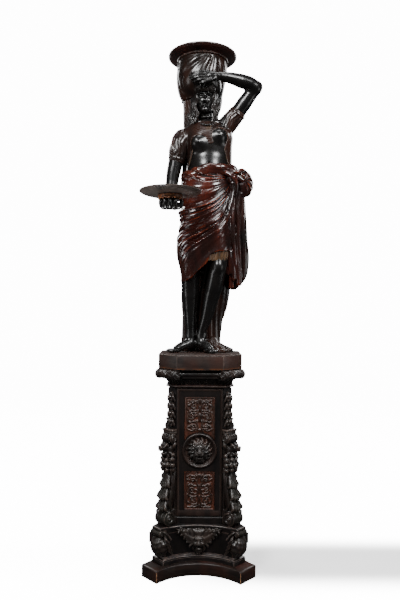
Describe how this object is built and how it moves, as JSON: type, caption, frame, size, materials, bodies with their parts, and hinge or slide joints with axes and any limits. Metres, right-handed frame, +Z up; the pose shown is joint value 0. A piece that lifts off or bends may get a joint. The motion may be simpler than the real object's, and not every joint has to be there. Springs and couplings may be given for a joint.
{
  "type": "carved wooden figure torchere",
  "caption": "Carved dark wooden torchere: a draped woman with a dished vessel on her head and a tray in her hand, on a tall square pedestal with scroll consoles and relief panels.",
  "frame": {"origin": "centre of the base slab's underside, which rests on the floor", "axes": "+Z up along the pedestal's axis; the front of the figure and of the pedestal looks along -Y; +X is to the viewer's right"},
  "size_m": [0.4563, 0.5215, 2.0045],
  "materials": {
    "black_wood": "ebonised and polished",
    "dark_wood": "dark stained, waxed, worn at the edges",
    "red_wood": "red-brown stained",
    "brown_wood": "worn to the bare orange-brown wood"
  },
  "bodies": {
    "root": {"base_slab": "dark_wood", "capital": "black_wood", "collar": "dark_wood", "corner_console_back_left": "dark_wood", "corner_console_back_right": "dark_wood", "corner_console_front_left": "dark_wood", "corner_console_front_right": "dark_wood", "corner_scroll_back_left": "dark_wood", "corner_scroll_back_right": "dark_wood", "corner_scroll_front_left": "dark_wood", "corner_scroll_front_right": "dark_wood", "figure": "black_wood", "figure_plinth": "dark_wood", "fruit_drop_back_left": "dark_wood", "fruit_drop_back_right": "dark_wood", "fruit_drop_front_left": "dark_wood", "fruit_drop_front_right": "dark_wood", "hand_tray": "dark_wood", "head_dish": "red_wood", "lion_mask_back": "black_wood", "lion_mask_front": "black_wood", "lion_mask_left": "black_wood", "lion_mask_right": "black_wood", "lower_panel_back": "red_wood", "lower_panel_front": "red_wood", "lower_panel_left": "red_wood", "lower_panel_right": "red_wood", "mask_cartouche_back": "dark_wood", "mask_cartouche_front": "dark_wood", "mask_cartouche_left": "dark_wood", "mask_cartouche_right": "dark_wood", "roundel_back": "dark_wood", "roundel_front": "dark_wood", "roundel_left": "dark_wood", "roundel_right": "dark_wood", "shaft": "black_wood", "shaft_plinth": "black_wood", "shell_foot_back_left": "dark_wood", "shell_foot_back_right": "dark_wood", "shell_foot_front_left": "dark_wood", "shell_foot_front_right": "dark_wood", "socle": "black_wood", "socle_moulding": "black_wood", "tray_foot": "brown_wood", "upper_panel_back": "red_wood", "upper_panel_front": "red_wood", "upper_panel_left": "red_wood", "upper_panel_right": "red_wood"}
  },
  "joints": []
}
